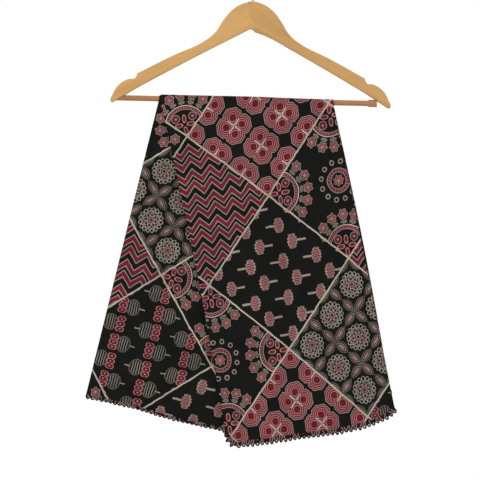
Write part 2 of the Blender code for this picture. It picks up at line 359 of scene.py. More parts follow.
def add_node(tree, kind, *inputs, steps=(), stops=(), sockets=None, **settings):
    """Adds a node. Settings go on it, steps or stops on its ramp, and an input is a value or what links to it.

    The kind may be followed by the node's operation.
    """
    kind, *operation = kind.split()
    node = tree.nodes.new("ShaderNode" + kind)
    if operation:
        node.operation = operation[0]
    for name, value in settings.items():
        setattr(node, name, value)
    if steps or stops:
        ramp = node.color_ramp
        ramp.interpolation = "CONSTANT" if steps else "LINEAR"
        ramp.elements.remove(ramp.elements[1])
        for order, (position, colour) in enumerate(steps or stops):
            element = ramp.elements.new(position) if order else ramp.elements[0]
            element.position = position
            element.color = (*colour[:3], 1.0)
    chosen = list(zip((socket for socket in node.inputs if socket.enabled), inputs))
    chosen += [(node.inputs[name], value) for name, value in (sockets or {}).items()]
    for socket, value in chosen:
        if isinstance(value, bpy.types.Node):
            value = next(output for output in value.outputs if output.enabled)
        if isinstance(value, bpy.types.NodeSocket):
            tree.links.new(value, socket)
        elif value is not None:
            socket.default_value = value
    return node


def start_material(name):
    """A material with an empty tree, and what adds nodes to it."""
    material = bpy.data.materials.new(name)
    material.use_nodes = True
    material.node_tree.nodes.clear()
    return material, partial(add_node, material.node_tree)


def finish_material(add, **sockets):
    """The shader and the output. A socket's name is written with _ for a space."""
    named = {name.replace("_", " "): value for name, value in sockets.items()}
    shader = add("BsdfPrincipled", sockets=named)
    add("OutputMaterial", shader)


def printed_bands(add, distance, reach, *bands):
    """The ink across a mark. A band is (where it starts, in millimetres, its ink), and the last reaches the end."""
    share = add("Math DIVIDE", distance, reach)
    return add("ValToRGB", share, steps=[(start / reach, (ink,) * 3) for start, ink in bands])


def petalled(add, place, petals, depth):
    """The distance from a mark's middle, made to wave in and out once for each petal."""
    axes = add("SeparateXYZ", place)
    angle = add("Math ARCTAN2", axes.outputs[1], axes.outputs[0])
    turn = add("Math MULTIPLY", angle, petals)
    wave = add("Math COSINE", turn)
    away = add("VectorMath LENGTH", place)
    return add("Math MULTIPLY_ADD", wave, -depth, away)


def on_circle(add, place, radius, count, turned=0.0):
    """A place taken round a circle: millimetres from the nearest of its marks, along the circle and outwards."""
    axes = add("SeparateXYZ", place)
    angle = add("Math ARCTAN2", axes.outputs[1], axes.outputs[0])
    half = math.pi / count
    angle = add("Math ADD", angle, turned * half)
    fold = add("Math PINGPONG", angle, half)
    away = add("VectorMath LENGTH", place)
    along = add("Math MULTIPLY", fold, away)
    outwards = add("Math SUBTRACT", away, radius)
    return add("CombineXYZ", along, outwards)


def ringed(add, place, radius, count, reach, *bands):
    """Round marks spaced evenly along a circle."""
    return printed_bands(add, add("VectorMath LENGTH", on_circle(add, place, radius, count)), reach, *bands)


def strip(add, across, half_width, along, start, end, ink):
    """A straight printed stroke."""
    middle = (start + end) / 2
    inside = add("Math COMPARE", across, 0.0, half_width)
    within = add("Math COMPARE", along, middle, end - middle)
    both = add("Math MULTIPLY", inside, within)
    return add("Math MULTIPLY", both, ink)


def over(add, *marks):
    """The marks laid together, the highest ink on top."""
    top = marks[0]
    for mark in marks[1:]:
        top = add("Math MAXIMUM", top, mark)
    return top


def cell(add, grid, count, shift=0.0):
    """Millimetres from the middle of the cell that a place lies in, where a block is so many cells wide."""
    repeat = add("VectorMath MULTIPLY_ADD", grid, (float(count),) * 3, (shift, shift, 0.0))
    part = add("VectorMath FRACTION", repeat)
    signed = add("VectorMath SUBTRACT", part, (0.5, 0.5, 0.0))
    return add("VectorMath SCALE", signed, sockets={"Scale": BLOCK_MM / count})


def diagonals(add, place):
    """Millimetres along a block's two diagonals."""
    axes = add("SeparateXYZ", place)
    sums = [add(f"Math {sign}", *axes.outputs[:2]) for sign in ("ADD", "SUBTRACT")]
    return [add("Math MULTIPLY", value, DIAGONAL_MM) for value in sums]


def nearer_and_farther(add, place):
    """The lesser and the greater of a place's two sides."""
    sides = add("SeparateXYZ", place)
    return [add(f"Math {pick}", *sides.outputs[:2]) for pick in ("MINIMUM", "MAXIMUM")]


def rosettes(add, folded):
    """Four fans of narrow bands round a pale cross, at every third of a block."""
    lobe = add("VectorMath SUBTRACT", folded, (FAN_OFF, FAN_OFF, 0.0))
    lobe = add("VectorMath ABSOLUTE", lobe)
    sides = add("SeparateXYZ", lobe)
    square = add("Math MAXIMUM", *sides.outputs[:2])
    slant = add("Math ADD", *sides.outputs[:2])
    slant = add("Math MULTIPLY", slant, FAN_SLANT)
    eight_sided = add("Math MAXIMUM", square, slant)
    fans = printed_bands(add, eight_sided, 20.0, *FAN_BANDS)
    cores = printed_bands(add, square, 20.0, (0.0, CORE), (5.0, GROUND))
    near, far = nearer_and_farther(add, folded)
    cross = strip(add, near, 1.1, far, 1.4, 12.5, CREAM)
    return near, far, over(add, fans, cores, cross)


def chevrons(add, across, along, odd):
    """Zigzag bands in pairs, pale along both edges. The block was set down differently in every other column."""
    zigzag = add("Math PINGPONG", along, DIAGONAL_MM / 8)
    level = add("Math SUBTRACT", across, zigzag)
    repeat = add("Math MULTIPLY_ADD", level, 3 / DIAGONAL_MM, 0.31)
    repeat = add("Math MULTIPLY_ADD", odd, -0.59, repeat)
    part = add("Math FRACT", repeat)
    return printed_bands(add, part, 1.0, *CHEVRON_BANDS)


def facing_rows(add, across, along, row, period, offset):
    """Rows of a mark that face one way and the other by turns: millimetres along and across from the nearest."""
    count = add("Math DIVIDE", across, row)
    whole = add("Math FLOOR", count)
    odd = add("Math FLOORED_MODULO", whole, 2.0)
    sign = add("Math MULTIPLY_ADD", odd, -2.0, 1.0)
    shift = add("Math MULTIPLY", odd, offset)
    turned = add("Math MULTIPLY_ADD", along, sign, shift)
    share = add("Math DIVIDE", turned, period)
    part = add("Math FRACT", share)
    x = add("Math MULTIPLY_ADD", part, period, -period / 2)
    across_part = add("Math FRACT", count)
    y = add("Math MULTIPLY_ADD", across_part, row, -row / 2)
    return x, y


def oval(add, x, y, middle, long, wide):
    """The distance from the middle of an oval, which is 1 on its edge."""
    ahead = add("Math MULTIPLY_ADD", x, 1 / long, -middle / long)
    beside = add("Math MULTIPLY", y, 1 / wide)
    place = add("CombineXYZ", ahead, beside)
    return add("VectorMath LENGTH", place)


def lotuses(add, part, row):
    """Heads of pointed petals on a short stem, in rows that face each other. The block drifted from row to row."""
    across, along = (
        add("Math ADD", add("Math MULTIPLY_ADD", row, drift, value), start)
        for value, (start, drift) in zip(diagonals(add, part), LOTUS_PHASES)
    )
    x, y = facing_rows(add, across, along, *(DIAGONAL_MM * share for share in LOTUS_ROWS))
    petal = add("Math PINGPONG", y, 2.4)
    reach = oval(add, x, y, 6.0, 8.0, 12.0)
    tipped = add("Math MULTIPLY_ADD", petal, 0.10, reach)
    inside = add("Math LESS_THAN", tipped, 1.0)
    heart = add("Math LESS_THAN", x, 11.0)
    hearts = printed_bands(add, petal, 2.6, (0.0, CRIMSON), (0.7, PINK), (1.75, MAROON))
    tips = printed_bands(add, petal, 2.6, (0.0, ASH), (1.75, MAROON))
    petals = add("Mix", heart, tips, hearts)
    petals = add("Math MULTIPLY", petals, inside)
    rim = printed_bands(add, tipped, 3.0, (0.0, GROUND), (0.93, ASH), (1.06, GROUND))
    stem = strip(add, y, 1.6, x, -15.5, -2.0, ASH)
    return over(add, petals, rim, stem)


def medallions(add, grid, near, far):
    """Rounds of lace with a flower inside, and pointed leaves on the lines between them."""
    place = cell(add, grid, 3)
    outer_loops = ringed(add, place, 16.3, 16, 12.0, (0.0, GROUND), (2.0, ASH), (3.2, GROUND))
    inner_loops = ringed(add, place, 8.2, 8, 12.0, (0.0, CRIMSON), (1.1, GROUND), (2.1, ASH), (3.2, GROUND))
    away = add("VectorMath LENGTH", place)
    rings = printed_bands(
        add, away, 40.0, (0.0, CRIMSON), (1.3, GROUND), (2.5, PINK), (3.7, GROUND), (11.8, ASH), (12.8, GROUND)
    )
    off = add("Math MULTIPLY_ADD", far, 1 / 13.3, -1.0)
    curve = add("Math MULTIPLY", off, off)
    lens = add("Math MULTIPLY_ADD", near, 1 / 6.6, curve)
    leaves = printed_bands(
        add, lens, 1.5, (0.0, PINK), (0.24, GROUND), (0.44, ASH), (0.58, GROUND), (0.82, SMOKE), (1.0, GROUND)
    )
    return over(add, outer_loops, inner_loops, rings, leaves)


def small_flowers(add, grid):
    """Six-petalled flowers at every sixth of a block."""
    place = cell(add, grid, 6)
    return printed_bands(add, petalled(add, place, 6.0, 1.0), 30.0, *SMALL_FLOWER)


def mandalas(add, centre, corner, corner_far, corner_near):
    """A round near each corner of the block, with flowers outside and leaves inside, and a ring in the middle."""
    place = add("VectorMath SUBTRACT", corner, (ROUND_OFF, ROUND_OFF, 0.0))
    away = add("VectorMath LENGTH", place)
    rings = printed_bands(
        add, away, 90.0, (0.0, GROUND), (25.9, ASH), (26.9, CRIMSON), (31.5, CREAM), (32.7, GROUND)
    )
    beads = ringed(add, place, 29.2, 44, 4.0, (0.0, PINK), (0.9, GROUND))
    tufts = printed_bands(
        add, petalled(add, on_circle(add, place, 37.6, 16), 3.0, 1.2), 20.0, (0.0, GROUND), (1.2, ASH),
        (2.4, GROUND), (3.0, ASH), (3.9, GROUND),
    )
    flowers = printed_bands(add, petalled(add, on_circle(add, place, 48.6, 16), 6.0, 1.0), 30.0, *SMALL_FLOWER)
    heart = add("VectorMath SUBTRACT", corner, (HEART_OFF, HEART_OFF, 0.0))
    leaf = add("SeparateXYZ", on_circle(add, heart, 9.6, 4, turned=1.0))
    leaves = printed_bands(
        add, oval(add, leaf.outputs[1], leaf.outputs[0], 0.0, 6.6, 3.5), 3.0, (0.0, CRIMSON), (0.72, PINK),
        (1.0, GROUND),
    )
    folded = add("CombineXYZ", corner_far, corner_near)
    bud = add("VectorMath DISTANCE", folded, (30.6, ROUND_OFF, 0.0))
    buds = printed_bands(add, bud, 12.0, (0.0, PINK), (1.6, CRIMSON), (4.6, GROUND), (5.5, ASH), (6.5, GROUND))
    middle = printed_bands(
        add, petalled(add, centre, 7.0, 1.1), 30.0, (0.0, CREAM), (1.5, CRIMSON), (3.4, PINK), (4.6, CRIMSON),
        (6.6, ASH), (7.6, GROUND),
    )
    reach = add("VectorMath LENGTH", centre)
    ring = printed_bands(add, reach, 40.0, (0.0, GROUND), (11.8, ASH), (12.8, CRIMSON), (17.3, ASH), (18.4, GROUND))
    dots = ringed(add, centre, 15.0, 20, 4.0, (0.0, PINK), (0.9, GROUND))
    small_rings = ringed(add, centre, 28.2, 12, 12.0, (0.0, MAROON), (1.6, GROUND), (2.3, ASH), (3.9, GROUND))
    return over(add, rings, beads, tufts, flowers, leaves, buds, middle, ring, dots, small_rings)


def bulbs(add, across, along):
    """Striped bulbs with a lobed flower at one end, in rows that face each other."""
    across = add("Math SUBTRACT", across, DIAGONAL_MM / 8)
    along = add("Math SUBTRACT", along, DIAGONAL_MM / 4)
    x, y = facing_rows(add, across, along, DIAGONAL_MM / 4, DIAGONAL_MM / 2, DIAGONAL_MM / 4)
    reach = oval(add, x, y, 0.0, 10.8, 12.0)
    outline = printed_bands(add, reach, 4.0, (0.0, GROUND), (0.92, SMOKE), (1.02, GROUND))
    stripe = add("Math PINGPONG", x, 1.9)
    stripes = printed_bands(add, stripe, 2.0, (0.0, GROUND), (1.0, SMOKE), (1.6, ASH))
    inside = add("Math LESS_THAN", reach, 0.86)
    stripes = add("Math MULTIPLY", stripes, inside)
    lobe = add("Math PINGPONG", y, 3.9)
    lobes = printed_bands(
        add, oval(add, x, lobe, 16.2, 6.6, 4.4), 12.0, (0.0, PINK), (0.22, CORE), (0.84, PINK), (1.0, GROUND),
    )
    beside = add("Math COMPARE", y, 0.0, 11.8)
    lobes = add("Math MULTIPLY", lobes, beside)
    stem = strip(add, y, 0.8, x, -18.5, -10.4, ASH)
    return over(add, outline, stripes, lobes, stem)


def printed_ink(add, grid):
    """The ink at a place of the printed grid, whose unit is one block."""
    part = add("VectorMath FRACTION", grid)
    centre = cell(add, grid, 1)
    folded = add("VectorMath ABSOLUTE", centre)
    corner = add("VectorMath SUBTRACT", (BLOCK_MM / 2, BLOCK_MM / 2, 0.0), folded)
    corner_near, corner_far = nearer_and_farther(add, corner)
    across, along = diagonals(add, grid)
    third = add("VectorMath ABSOLUTE", cell(add, grid, 3, shift=0.5))
    block = add("VectorMath FLOOR", grid)
    place = add("SeparateXYZ", block)
    odd = add("Math FLOORED_MODULO", place.outputs[0], 2.0)
    near, far, rosette = rosettes(add, third)
    drawn = {
        "R": rosette, "M": mandalas(add, centre, corner, corner_far, corner_near),
        "C": chevrons(add, across, along, odd), "L": lotuses(add, part, place.outputs[1]),
        "D": medallions(add, grid, near, far), "B": bulbs(add, across, along), "F": small_flowers(add, grid),
    }
    column = add("Math FLOORED_MODULO", place.outputs[0], PLAN_COLUMNS)
    row = add("Math FLOORED_MODULO", place.outputs[1], PLAN_ROWS)
    order = add("Math MULTIPLY_ADD", column, PLAN_ROWS, row)
    count = PLAN_COLUMNS * PLAN_ROWS
    share = add("Math MULTIPLY_ADD", order, 1 / count, 0.5 / count)
    plan = "".join(BLOCK_PLAN)
    steps = [(place / count, (MOTIFS.index(motif) / len(MOTIFS),) * 3) for place, motif in enumerate(plan)]
    motif = add("ValToRGB", share, steps=steps)
    ink = 0.0
    for number, name in enumerate(MOTIFS):
        chosen = add("Math COMPARE", motif, number / len(MOTIFS), 0.3 / len(MOTIFS))
        ink = add("Math MULTIPLY_ADD", chosen, drawn[name], ink)
    lines = printed_bands(add, corner_near, 10.0, (0.0, CREAM), (1.15, GROUND))
    return over(add, ink, lines)


def printed_cotton(settings):
    # Cotton, plain woven, dyed and printed by hand with blocks. It gives a matt dark ground, a crisp but uneven
    # pattern and a faint weave.
    material, add = start_material("block-printed cotton")
    blocks = add("UVMap", uv_map="blocks")
    threads = add("UVMap", uv_map="threads")
    wander = add("TexNoise", threads, sockets={"Scale": 60.0, "Detail": 2.0})
    wander = add("VectorMath SUBTRACT", wander.outputs["Color"], (0.5,) * 3)
    wander = add("VectorMath MULTIPLY_ADD", wander, (STRAY, STRAY, 0.0), blocks)
    ink = printed_ink(add, wander)
    names = ("ground", "maroon", "smoke", "core", "crimson", "pink", "ash", "cream")
    inks = [getattr(settings, name) for name in names]
    steps = [(max(0.0, (level - 0.5) / INK_LEVELS), ink_colour) for level, ink_colour in enumerate(inks)]
    colour = add("ValToRGB", ink, steps=steps)
    fading = add("TexNoise", threads, sockets={"Scale": 24.0, "Detail": 6.0, "Roughness": 0.65})
    fade = add("MapRange", fading, 0.3, 0.7, *FADE)
    faded = add("VectorMath SCALE", colour, sockets={"Scale": fade})
    scale = math.pi / 10 / settings.thread
    warp = add("TexWave", threads, sockets={"Scale": scale}, bands_direction="X")
    weft = add("TexWave", threads, sockets={"Scale": scale}, bands_direction="Y")
    weave = add("Math MULTIPLY", warp.outputs["Fac"], weft.outputs["Fac"])
    bump = add("Bump", sockets={"Strength": 0.35, "Distance": 0.0003, "Height": weave})
    finish_material(add, Base_Color=faded, Roughness=0.9, Specular_IOR_Level=0.12, Normal=bump)
    return material


def cotton_yarn(name, colour):
    # Twisted cotton yarn, crocheted. It gives a soft matt cord with a fine slanting ply.
    material, add = start_material(name)
    place = add("TexCoord")
    twist = {"Scale": 260.0, "Distortion": 2.0}
    ply = add("TexWave", place.outputs["Object"], sockets=twist, bands_direction="DIAGONAL")
    shade = add("TexNoise", place.outputs["Object"], sockets={"Scale": 300.0, "Detail": 3.0})
    tone = add("MapRange", shade, 0.3, 0.7, 0.65, 1.25)
    toned = add("VectorMath SCALE", tuple(colour), sockets={"Scale": tone})
    bump = add("Bump", sockets={"Strength": 0.5, "Distance": 0.0003, "Height": ply.outputs["Fac"]})
    finish_material(add, Base_Color=toned, Roughness=0.9, Specular_IOR_Level=0.15, Normal=bump)
    return material


def waxed_wood(name, light, dark, lean):
    # Light softwood, planed, rounded and waxed. It gives warm grain along the piece and a low soft gloss.
    material, add = start_material(name)
    place = add("TexCoord")
    along = add(
        "Mapping", place.outputs["Object"], sockets={"Rotation": (0.0, lean, 0.0), "Scale": (16.0, 1.0, 1.0)},
        vector_type="TEXTURE",
    )
    grain = add("TexNoise", along, sockets={"Scale": 420.0, "Detail": 4.0, "Roughness": 0.55})
    rings = add("TexNoise", along, sockets={"Scale": 90.0, "Detail": 3.0, "Distortion": 0.6})
    both = add("Math MULTIPLY_ADD", grain, 0.5, rings)
    colour = add("ValToRGB", both, stops=[(0.55, tuple(dark)), (0.85, tuple(light))])
    bump = add("Bump", sockets={"Strength": 0.08, "Distance": 0.0003, "Height": grain})
    rough = add("MapRange", grain, 0.3, 0.7, 0.42, 0.56)
    finish_material(add, Base_Color=colour, Roughness=rough, Coat_Weight=0.08, Coat_Roughness=0.4, Normal=bump)
    return material


def plated_wire(settings):
    # Steel wire, drawn, bent and plated. It gives a bright metal with fine scratches along it.
    material, add = start_material("plated steel wire")
    place = add("TexCoord")
    scratch = add("TexNoise", place.outputs["Object"], sockets={"Scale": 900.0, "Detail": 4.0})
    rough = add("MapRange", scratch, 0.3, 0.7, 0.16, 0.34)
    finish_material(add, Base_Color=(*settings.wire, 1.0), Metallic=1.0, Roughness=rough)
    return material


def floor_paper(settings):
    # Wide roll of uncoated paper. It gives an even matt ground.
    material, add = start_material("floor paper")
    place = add("TexCoord")
    fibre = add("TexNoise", place.outputs["Object"], sockets={"Scale": 400.0, "Detail": 2.0})
    bump = add("Bump", sockets={"Strength": 0.03, "Distance": 0.0002, "Height": fibre})
    finish_material(add, Base_Color=(*settings.paper, 1.0), Roughness=0.95, Normal=bump)
    return material


def through(lines, share):
    """The line at a share of the way across a panel, on a smooth curve through the panel's lines."""
    place = share * (len(lines) - 1)
    first = min(int(place), len(lines) - 2)
    t = place - first
    before = lines[max(first - 1, 0)]
    a, b = lines[first], lines[first + 1]
    after = lines[min(first + 2, len(lines) - 1)]
    found = []
    for p, q, r, s in zip(before, a, b, after):
        bend = 2 * p - 5 * q + 4 * r - s
        rest = 3 * q - p - 3 * r + s
        found.append(q + 0.5 * t * (r - p + t * (bend + t * rest)))
    return Line(*found)


Column = namedtuple("Column", "line shift panel share")


def cloth_columns():
    """The columns of the cloth from its right edge to its left: lines of each panel, and a half round at a fold."""
    columns = []
    panels = (
        (RIGHT_PANEL, RIGHT_COLUMNS, -1), (RETURN_PANEL, RETURN_COLUMNS, 1), (LEFT_PANEL, LEFT_COLUMNS, 0),
    )
    for number, (lines, count, turn) in enumerate(panels):
        for step in range(count + 1):
            share = step / count
            columns.append(Column(through(lines, share), 0.0, number, share))
        if turn:
            last = lines[-1]
            for step in range(1, FOLD_COLUMNS):
                angle = math.pi * step / FOLD_COLUMNS
                level = last.level - 0.5 + 0.5 * math.cos(angle)
                shift = turn * math.sin(angle) / 2
                columns.append(Column(last._replace(level=level), shift, number, 1.0))
    return columns


def swell_at(x, fall, swells):
    """How far the soft folds stand out at x, a share of the way down the fall."""
    out = FALL_SPREAD * math.sin(fall * math.pi / 2)
    for swell in swells:
        away = (x - blend(swell.x_bar, swell.x_hem, fall)) / swell.width
        out += swell.height * fall * math.exp(-away * away)
    return out


def slack_at(x, fall, side, height):
    """The slack between the folds: long low ridges down the fall, with finer ones among them."""
    fan = x / blend(1.0, SLACK_FAN, fall)
    total = 0.0
    for wave in SLACK_WAVES:
        place = Vector((fan * wave.across, fall * wave.down, side * wave.seed))
        total += wave.height * noise.noise(place)
    return height * (fall + SLACK_AT_BAR) * total * min(1.0, fall * 12)


def grid_place(lie, x, drop):
    """Where a place of the unfolded cloth lies on the printed grid, in blocks."""
    return Vector([a.start + a.right * x + a.down * drop + a.both * x * max(drop, 0.0) for a in lie])


def grid_at(column, x, drop):
    """The printed grid at a column of the cloth. The drop is negative over the bar and behind it."""
    right, left = (grid_place(lie, x, drop) for lie in (RIGHT_LIE, LEFT_LIE))
    return right.lerp(left, (0.0, column.share, 1.0)[column.panel])


def cloth_rows(slack):
    """Every row of the cloth, from the front hem over the bar to the back hem, as (points, grid places)."""
    columns = cloth_columns()
    on_bar = BAR_RADIUS + SHEET_ON_BAR
    stations = [(-1, 1 - step / FRONT_ROWS) for step in range(FRONT_ROWS)]
    stations += [(0, step / BAR_ROWS) for step in range(BAR_ROWS + 1)]
    stations += [(1, (step + 1) / BACK_ROWS) for step in range(BACK_ROWS)]
    rows = []
    for part, share in stations:
        points = []
        places = []
        for column in columns:
            line = column.line
            if part == 0:
                out = on_bar + line.level * PITCH_ON_BAR
                turn = math.pi * share
                x = line.x_bar + column.shift * PITCH_ON_BAR
                point = (x, -out * math.cos(turn), out * math.sin(turn) - BAR_DROP)
                places.append(grid_at(column, line.x_bar, -turn * on_bar))
            else:
                pitch = blend(PITCH_ON_BAR, PITCH_BELOW, min(1.0, 4 * share))
                back = part > 0
                reach = share * (1 - BACK_SHORTER / line.drop_hem) if back else share
                bow = (BACK_BOW if back else line.bow) * math.sin(math.pi * share)
                x = blend(line.x_bar, line.x_hem, reach) + bow
                out = on_bar + line.level * pitch + swell_at(x, share, BACK_SWELLS if back else FRONT_SWELLS)
                out += slack_at(x, share, part, slack)
                point = (x + column.shift * pitch, part * out, -BAR_DROP - line.drop_hem * reach)
                drop = -math.pi * on_bar - line.drop_hem * reach if back else line.drop_hem * reach
                places.append(grid_at(column, x, drop))
            points.append(Vector(point))
        rows.append((points, places))
    return rows


def loft(name, rows, materials):
    """A sheet through equal rows of points, its faces out, with the printed grid and its threads as UV maps."""
    work = bmesh.new()
    blocks = work.loops.layers.uv.new("blocks")
    threads = work.loops.layers.uv.new("threads")
    down = [0.0]
    for (upper, _), (lower, _) in zip(rows, rows[1:]):
        middle = len(upper) // 4
        down.append(down[-1] + (lower[middle] - upper[middle]).length)
    across = [0.0]
    for a, b in zip(rows[0][0], rows[0][0][1:]):
        across.append(across[-1] + (b - a).length)
    verts = [[work.verts.new(point) for point in points] for points, _ in rows]
    for row in range(len(rows) - 1):
        for column in range(len(across) - 1):
            corners = ((row, column), (row, column + 1), (row + 1, column + 1), (row + 1, column))
            face = work.faces.new([verts[r][c] for r, c in corners])
            face.smooth = True
            for loop, (r, c) in zip(face.loops, corners):
                loop[blocks].uv = rows[r][1][c]
                loop[threads].uv = (across[c], down[r])
    mesh = bpy.data.meshes.new(name)
    work.to_mesh(mesh)
    work.free()
    return make_piece(name, mesh, materials)


class AJRAKH_OT_cloth(bpy.types.Operator):
    """Hangs the printed cloth over the bar, folded back once so that its two sides fan out"""

    bl_idname = "ajrakh.cloth"
    bl_label = "Printed cloth"

    def execute(self, context):
        settings = context.scene.ajrakh.cloth
        cloth = loft("printed_cloth", cloth_rows(settings.slack), [printed_cotton(settings)])
        wall = cloth.modifiers.new("thickness", "SOLIDIFY")
        wall.thickness = settings.thickness
        wall.offset = 0.0
        deselect_all()
        context.view_layer.objects.active = cloth
        cloth.select_set(True)
        bpy.ops.object.modifier_apply(modifier=wall.name)
        deselect_all()
        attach(cloth, "root")
        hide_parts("cloth")
        return {"FINISHED"}


def spaced(points, spacing):
    """Points at an even spacing along a polyline."""
    lengths = [(b - a).length for a, b in zip(points, points[1:])]
    count = round(sum(lengths) / spacing)
    found = []
    for index in range(count + 1):
        ahead = sum(lengths) * index / count
        place = 0
        while place < len(lengths) - 1 and ahead > lengths[place]:
            ahead -= lengths[place]
            place += 1
        found.append(points[place].lerp(points[place + 1], min(1.0, ahead / lengths[place])))
    return found


def hem_frame(points, index):
    """At a point of the hem: along it, away from the cloth square to it, and out of the cloth's face."""
    along = (points[min(index + 1, len(points) - 1)] - points[max(index - 1, 0)]).normalized()
    down = Vector((0.0, 0.0, -1.0))
    away = (down - along * down.dot(along)).normalized()
    return along, away, along.cross(away)


def add_rings(work, rings, slot, closed):
    """Joins rings of points into a tube. Its ends are filled unless it closes on itself."""
    verts = [[work.verts.new(point) for point in ring] for ring in rings]
    pairs = list(zip(verts, verts[1:]))
    if closed:
        pairs.append((verts[-1], verts[0]))
    faces = []
    for a, b in pairs:
        for place in range(len(a)):
            after = (place + 1) % len(a)
            faces.append(work.faces.new((a[place], a[after], b[after], b[place])))
    if not closed:
        faces.append(work.faces.new(verts[0]))
        faces.append(work.faces.new(verts[-1]))
    for face in faces:
        face.smooth = True
        face.material_index = slot


def add_yarn(work, route, radius, sides, slot, closed=False):
    """A round yarn along a route that lies nearly in one plane."""
    count = len(route)
    first = route[count // 3] - route[0]
    flat = first.cross(route[2 * count // 3] - route[0]).normalized()
    rings = []
    for index, point in enumerate(route):
        if closed:
            ahead = route[(index + 1) % count] - route[index - 1]
        else:
            ahead = route[min(index + 1, count - 1)] - route[max(index - 1, 0)]
        side = ahead.normalized().cross(flat).normalized()
        turns = [2 * math.pi * step / sides for step in range(sides)]
        rings.append([point + (side * math.cos(turn) + flat * math.sin(turn)) * radius for turn in turns])
    add_rings(work, rings, slot, closed)


def edging_depth(x):
    """How deep the edging is worked at a place of the hem, as a share of its full depth."""
    share = (x - SHALLOW_END) / (DEEP_START - SHALLOW_END)
    return blend(SHALLOW, 1.0, min(1.0, max(0.0, share)))


def half_loop(foot, along, away, wide, deep):
    """The route of a picot: down from the band, round and back up to it."""
    turns = [math.pi * bit / 8 for bit in range(9)]
    return [foot + along * wide * math.cos(turn) + away * deep * math.sin(turn) for turn in turns]


def make_edging(name, hem, pitch, materials):
    """A crocheted band on the hem, with uneven picots under it and pale yarn round it here and there."""
    chance = random.Random(7)
    seam = spaced(hem, pitch / BAND_STEPS)
    work = bmesh.new()
    rings = []
    for index, point in enumerate(seam):
        _, away, face = hem_frame(seam, index)
        depth = BAND_DEPTH * edging_depth(point.x)
        tall = depth / 2 + SCALLOP * math.cos(2 * math.pi * index / BAND_STEPS)
        middle = point + away * (depth / 2 - BAND_OVERLAP)
        across = face * BAND_THICKNESS / 2
        turns = [2 * math.pi * side / BAND_SIDES for side in range(BAND_SIDES)]
        rings.append([middle + away * tall * math.cos(turn) + across * math.sin(turn) for turn in turns])
    add_rings(work, rings, 0, False)
    for start in range(0, len(seam) - BAND_STEPS, BAND_STEPS):
        place = start + BAND_STEPS // 2
        along, away, face = hem_frame(seam, place)
        share = edging_depth(seam[place].x)
        foot = seam[place] + away * (BAND_DEPTH * share - BAND_OVERLAP - PICOT_RADIUS / 2)
        wide = pitch * chance.uniform(0.22, 0.32)
        deep = PICOT_DEPTH * share * chance.uniform(0.6, 1.1)
        add_yarn(work, half_loop(foot, along, away, wide, deep), PICOT_RADIUS, YARN_SIDES, 0)
        if chance.random() < DOUBLED_SHARE:
            outer = half_loop(foot - face * 0.0008, along, away, wide * 0.8, deep * 0.9)
            add_yarn(work, outer, WRAP_RADIUS, YARN_SIDES, 1)
        depth = BAND_DEPTH * share
        for side in (-0.25, 0.25):
            if chance.random() < BARE_SHARE:
                continue
            middle = seam[place] + along * pitch * side + away * (depth / 2 - BAND_OVERLAP)
            lean = along * chance.uniform(-WRAP_LEAN, WRAP_LEAN)
            route = []
            for bit in range(WRAP_STEPS):
                turn = 2 * math.pi * bit / WRAP_STEPS
                high = (lean + away * (depth / 2 + 0.0004)) * math.cos(turn)
                route.append(middle + high + face * (BAND_THICKNESS / 2) * math.sin(turn))
            add_yarn(work, route, WRAP_RADIUS, YARN_SIDES, 1, closed=True)
    bmesh.ops.recalc_face_normals(work, faces=work.faces)
    mesh = bpy.data.meshes.new(name)
    work.to_mesh(mesh)
    work.free()
    return make_piece(name, mesh, materials)


class AJRAKH_OT_edging(bpy.types.Operator):
    """Sews the picot edging to both hems"""

    bl_idname = "ajrakh.edging"
    bl_label = "Picot edging"

    def execute(self, context):
        settings = context.scene.ajrakh.edging
        rows = cloth_rows(context.scene.ajrakh.cloth.slack)
        yarns = [
            cotton_yarn("dark cotton yarn", settings.yarn),
            cotton_yarn("pale cotton yarn", settings.pale_yarn),
        ]
        for side, row in (("front", rows[0]), ("back", rows[-1])):
            edging = make_edging(f"{side}_picot_edging", row[0], settings.pitch, yarns)
            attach(edging, "root")
            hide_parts(f"{side}_edging")
        return {"FINISHED"}


def drawn_curve(name):
    """A new curve object from Blender's own, emptied of its points."""
    deselect_all()
    bpy.ops.curve.primitive_bezier_curve_add()
    holder = bpy.context.object
    holder.name = name
    holder.data.splines.clear()
    return holder


def curve_to_mesh(holder, material):
    """The curve's solid as a mesh at the origin, its caps welded and its faces turned out."""
    deselect_all()
    bpy.context.view_layer.objects.active = holder
    holder.select_set(True)
    bpy.ops.object.convert(target="MESH")
    piece = bpy.context.object
    bpy.ops.object.mode_set(mode="EDIT")
    bpy.ops.mesh.select_all(action="SELECT")
    bpy.ops.mesh.remove_doubles(threshold=0.00001)
    bpy.ops.mesh.normals_make_consistent(inside=False)
    bpy.ops.object.mode_set(mode="OBJECT")
    piece.data.materials.clear()
    piece.data.materials.append(material)
    settle(piece)
    return piece


def make_arm(name, outline, edge, material):
    """An arm of the hanger: its outline given a thickness, with rounded edges."""
    holder = drawn_curve(name)
    curve = holder.data
    curve.dimensions = "2D"
    curve.fill_mode = "BOTH"
    curve.extrude = ARM_THICKNESS / 2 - edge
    curve.bevel_depth = edge
    curve.bevel_resolution = 5
    curve.offset = -edge
    curve.resolution_u = 14
    spline = curve.splines.new("BEZIER")
    spline.bezier_points.add(len(outline) - 1)
    spline.use_cyclic_u = True
    for point, place in zip(spline.bezier_points, outline):
        point.co = (place.x, -place.drop, 0.0)
        kind = "VECTOR" if place.sharp else "AUTO"
        point.handle_left_type = kind
        point.handle_right_type = kind
    holder.rotation_euler = (math.pi / 2, 0.0, 0.0)
    return curve_to_mesh(holder, material)


